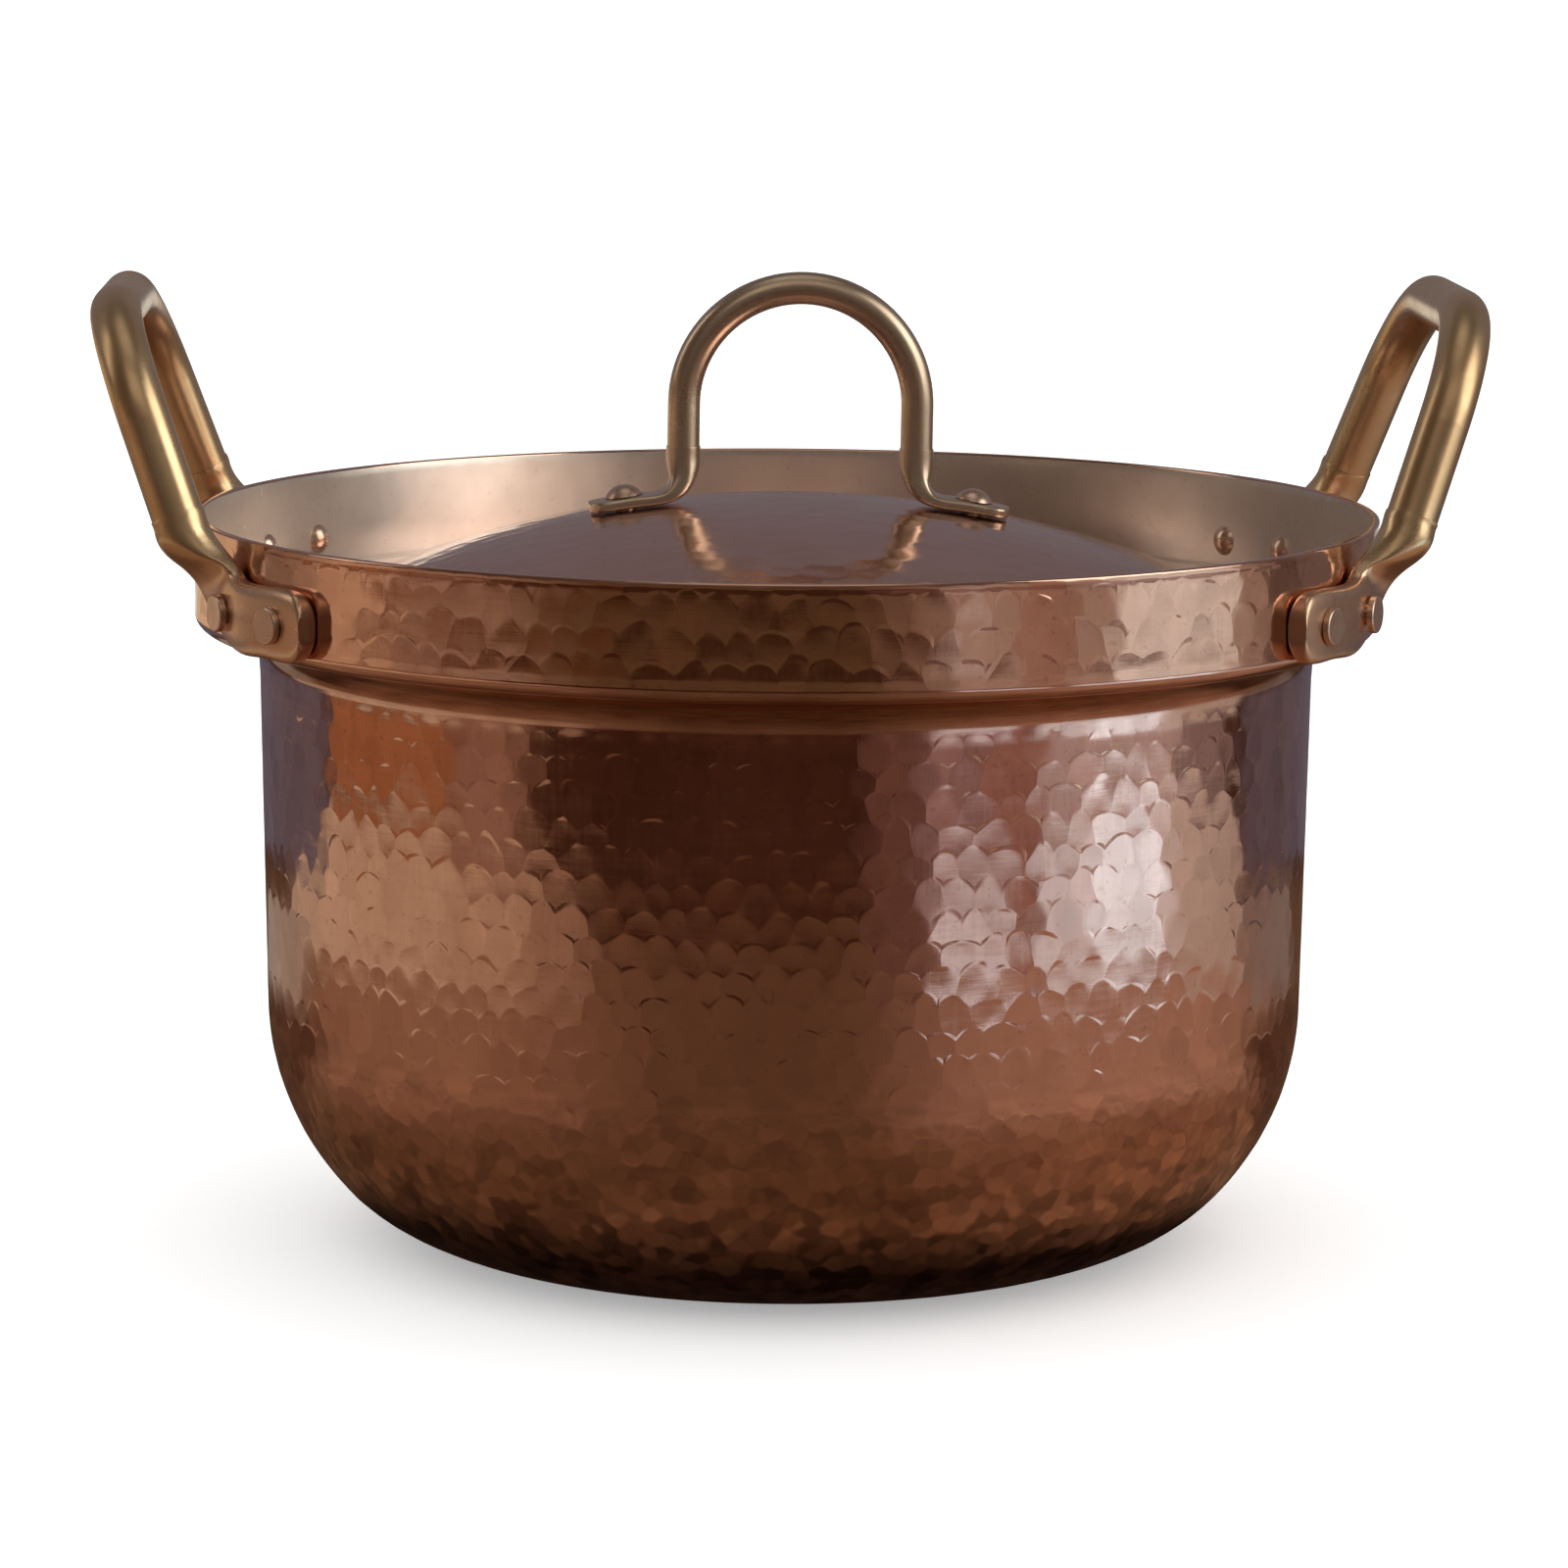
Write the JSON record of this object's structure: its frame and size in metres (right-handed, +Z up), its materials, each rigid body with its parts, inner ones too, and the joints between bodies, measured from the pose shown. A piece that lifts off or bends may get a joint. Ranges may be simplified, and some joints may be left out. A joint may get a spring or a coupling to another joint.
{
  "type": "lidded cooking pot",
  "caption": "Deep round hammered copper cooking pot with a wide collar, upright riveted loop handles and a loose domed lid with an arched handle.",
  "frame": {"origin": "middle of the pot's flat base, on the surface that it stands on", "axes": "+Z up along the pot's axis, +X from the middle towards the right handle, +Y away from the viewer of the picture"},
  "size_m": [0.3384, 0.292, 0.2398],
  "materials": {
    "pot_copper": "hammered and polished copper, tarnished brown low down",
    "lid_copper": "hammered and polished copper",
    "handle_brass": "smooth aged brass rod",
    "lid_handle_brass": "smooth aged brass rod",
    "rivet_copper": "worn copper rivet heads"
  },
  "bodies": {
    "pot": {"pot_body": "pot_copper", "left_handle": "handle_brass", "right_handle": "handle_brass", "left_rivet_front_root": "rivet_copper", "left_rivet_front_tip": "rivet_copper", "left_rivet_back_root": "rivet_copper", "left_rivet_back_tip": "rivet_copper", "right_rivet_front_root": "rivet_copper", "right_rivet_front_tip": "rivet_copper", "right_rivet_back_root": "rivet_copper", "right_rivet_back_tip": "rivet_copper"},
    "lid": {"lid": "lid_copper", "lid_handle": "lid_handle_brass", "lid_rivet_left": "rivet_copper", "lid_rivet_right": "rivet_copper"}
  },
  "joints": [
    {"name": "lid_lift", "type": "slide", "parent": "pot", "child": "lid", "axis": [0, 0, 1], "range_m": [0, 0.15]}
  ]
}
